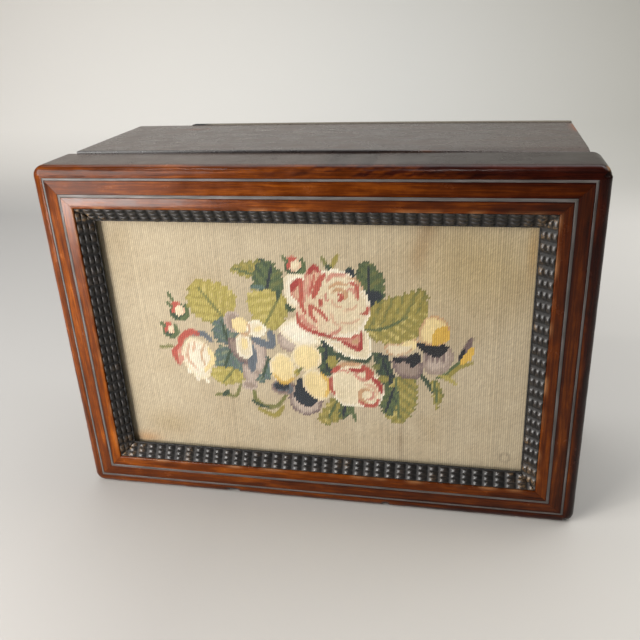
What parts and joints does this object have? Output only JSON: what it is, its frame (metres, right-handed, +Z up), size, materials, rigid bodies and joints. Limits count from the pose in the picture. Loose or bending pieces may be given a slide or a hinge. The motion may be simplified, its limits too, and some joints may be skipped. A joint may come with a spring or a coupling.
{
  "type": "needlepoint box",
  "caption": "Rectangular wooden box standing on its long side: hollow case and lift-off lid with metal stringing, ripple moulding and a stitched floral picture under glass.",
  "frame": {"origin": "centre of the underside that the box stands on, in the middle of the bounding box", "axes": "+Z up, +X to the right of someone facing the lid, -Y out of the lid's face, +Y out of the base board"},
  "size_m": [0.305, 0.127, 0.2129],
  "materials": {
    "lid_wood": "polished reddish-brown, worn at the edges",
    "case_wood": "dark, polished, with a dull sheen",
    "base_wood": "dull, unpolished, one end of its edge chipped off",
    "ebonised_wood": "black, polished, worn to brown at the corners",
    "string_metal": "dull grey inlay",
    "glass": "clear",
    "needlework": "wool stitches, beige ground with a floral bouquet",
    "backing_wood": "plain"
  },
  "bodies": {
    "root": {"case_board_lower": "case_wood", "case_board_upper": "case_wood", "case_end_left": "case_wood", "case_end_right": "case_wood", "base_board": "base_wood", "lid_rail_lower": "lid_wood", "ripple_lower": "ebonised_wood", "outer_string_lower": "string_metal", "inner_string_lower": "string_metal", "lid_rail_right": "lid_wood", "ripple_right": "ebonised_wood", "outer_string_right": "string_metal", "inner_string_right": "string_metal", "lid_rail_upper": "lid_wood", "ripple_upper": "ebonised_wood", "outer_string_upper": "string_metal", "inner_string_upper": "string_metal", "lid_rail_left": "lid_wood", "ripple_left": "ebonised_wood", "outer_string_left": "string_metal", "inner_string_left": "string_metal", "glass_pane": "glass", "needlework_panel": "needlework", "lid_backing_board": "backing_wood"}
  },
  "joints": []
}
